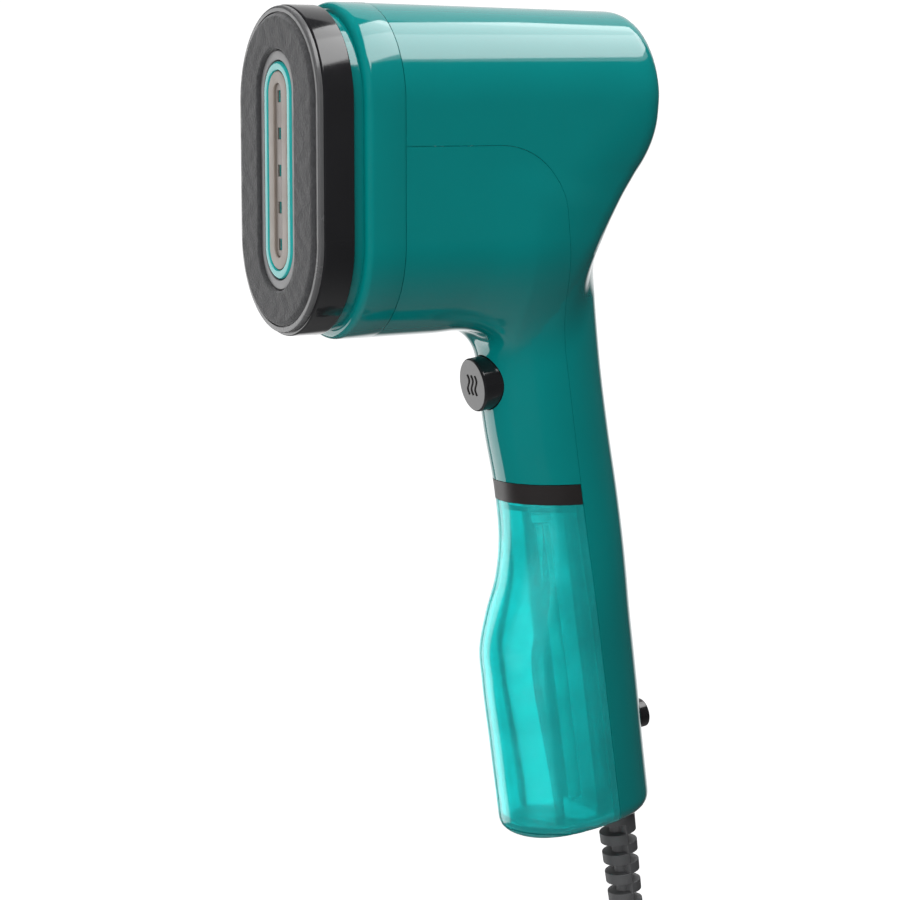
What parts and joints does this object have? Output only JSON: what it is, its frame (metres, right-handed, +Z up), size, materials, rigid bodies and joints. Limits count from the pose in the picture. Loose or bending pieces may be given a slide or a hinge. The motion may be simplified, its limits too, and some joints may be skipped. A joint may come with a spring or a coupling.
{
  "type": "handheld garment steamer",
  "caption": "Pistol-shaped corded garment steamer with a tall oval steam face, push trigger, clear water tank in the grip and a coiled mains cord.",
  "frame": {"origin": "middle of the hand grip, on the plane of symmetry", "axes": "+Z up, with the head above the grip; -X the way the steam face looks; Y across the housing"},
  "size_m": [0.1719, 0.1055, 0.5158],
  "materials": {
    "teal_gloss": "glossy injection moulded ABS",
    "black_gloss": "glossy",
    "dark_grey_plastic": "satin",
    "grey_felt": "short-pile woven pad",
    "grey_plastic": "satin",
    "bright_teal": "glossy",
    "taupe_plate": "bead blasted",
    "light_metal": "satin",
    "cast_aluminium": "as cast",
    "white_rubber": "silicone",
    "steel": "plated",
    "white_plastic": "moulded",
    "black_matte": "matte",
    "black_rubber": "soft",
    "board_green": "solder mask",
    "wire_insulation": "PVC insulation",
    "dark_grey_rubber": "satin",
    "tank_teal": "clear tinted",
    "cord_grey": "satin PVC",
    "brass_nickel": "nickel plated"
  },
  "bodies": {
    "housing": {"accent_ring": "bright_teal", "board_parts": "black_matte", "chamber_cover": "cast_aluminium", "chamber_gasket": "white_rubber", "chamber_screws": "steel", "collar_screws": "steel", "control_board": "board_green", "cord_clamp": "black_matte", "cord_clamp_screws": "steel", "cord_tie": "black_rubber", "delivery_hose": "white_rubber", "front_collar": "teal_gloss", "front_shell": "teal_gloss", "head_bezel": "black_gloss", "heat_shield": "steel", "heater_leads": "wire_insulation", "heating_element": "steel", "housing_screws": "steel", "microswitch": "black_matte", "nozzle_strip": "light_metal", "plug_body": "cord_grey", "plug_pins": "brass_nickel", "power_button_spring": "steel", "power_cord": "cord_grey", "power_cord_coil": "cord_grey", "power_cord_tail": "cord_grey", "power_switch": "black_matte", "pump_body": "white_plastic", "pump_bracket": "steel", "pump_coil": "black_matte", "pump_mounts": "black_rubber", "pump_spring": "steel", "rear_shell": "teal_gloss", "steam_chamber": "cast_aluminium", "steam_plate": "taupe_plate", "strain_relief": "dark_grey_rubber", "suction_hose": "white_rubber", "supply_wires": "wire_insulation", "tank_dock": "white_plastic", "terminal_block": "white_plastic", "thermal_fuse": "white_plastic", "thermostat": "steel", "trigger_guide": "black_matte", "trigger_spring": "steel", "vent_surround": "grey_plastic"},
    "pad": {"fabric_pad": "grey_felt", "pad_frame": "dark_grey_plastic"},
    "trigger": {"steam_trigger": "black_gloss"},
    "switch_plunger": {"microswitch_plunger": "white_plastic"},
    "power_key": {"power_button": "black_gloss"},
    "tank": {"tank_shell": "tank_teal", "tank_base": "tank_teal", "tank_cap": "black_matte", "tank_cap_seal": "black_rubber", "filler_stopper": "black_rubber", "tank_seal": "black_rubber", "outlet_valve_spring": "steel", "dip_tube": "white_rubber"},
    "tank_valve": {"outlet_valve_poppet": "white_plastic"},
    "pump_piston": {"pump_plunger": "steel"}
  },
  "joints": [
    {"name": "pad_pull_off", "type": "slide", "parent": "housing", "child": "pad", "axis": [-1, 0, 0], "range_m": [0, 0.025]},
    {"name": "trigger_press", "type": "slide", "parent": "housing", "child": "trigger", "axis": [0.9903, 0, 0.1392], "range_m": [0, 0.002], "stiffness_N_per_m": 900, "springref_m": -0.0015, "deforming": ["trigger_spring"]},
    {"name": "switch_press", "type": "slide", "parent": "housing", "child": "switch_plunger", "axis": [0.9903, 0, 0.1392], "range_m": [0, 0.002]},
    {"name": "power_press", "type": "slide", "parent": "housing", "child": "power_key", "axis": [-0.9903, 0, -0.1392], "range_m": [0, 0.0015], "stiffness_N_per_m": 1200, "springref_m": -0.001, "deforming": ["power_button_spring"]},
    {"name": "tank_slide", "type": "slide", "parent": "housing", "child": "tank", "axis": [0.1392, 0, -0.9903], "range_m": [0, 0.11]},
    {"name": "valve_lift", "type": "slide", "parent": "tank", "child": "tank_valve", "axis": [-0.1392, 0, 0.9903], "range_m": [0, 0.0015], "stiffness_N_per_m": 60, "springref_m": -0.001, "deforming": ["outlet_valve_spring"]},
    {"name": "pump_stroke", "type": "slide", "parent": "housing", "child": "pump_piston", "axis": [-1, 0, 0], "range_m": [0, 0.002], "stiffness_N_per_m": 800, "springref_m": -0.001, "deforming": ["pump_spring"]}
  ],
  "couplings": [
    {"joint": "switch_press", "follows": "trigger_press", "ratio": 1}
  ]
}
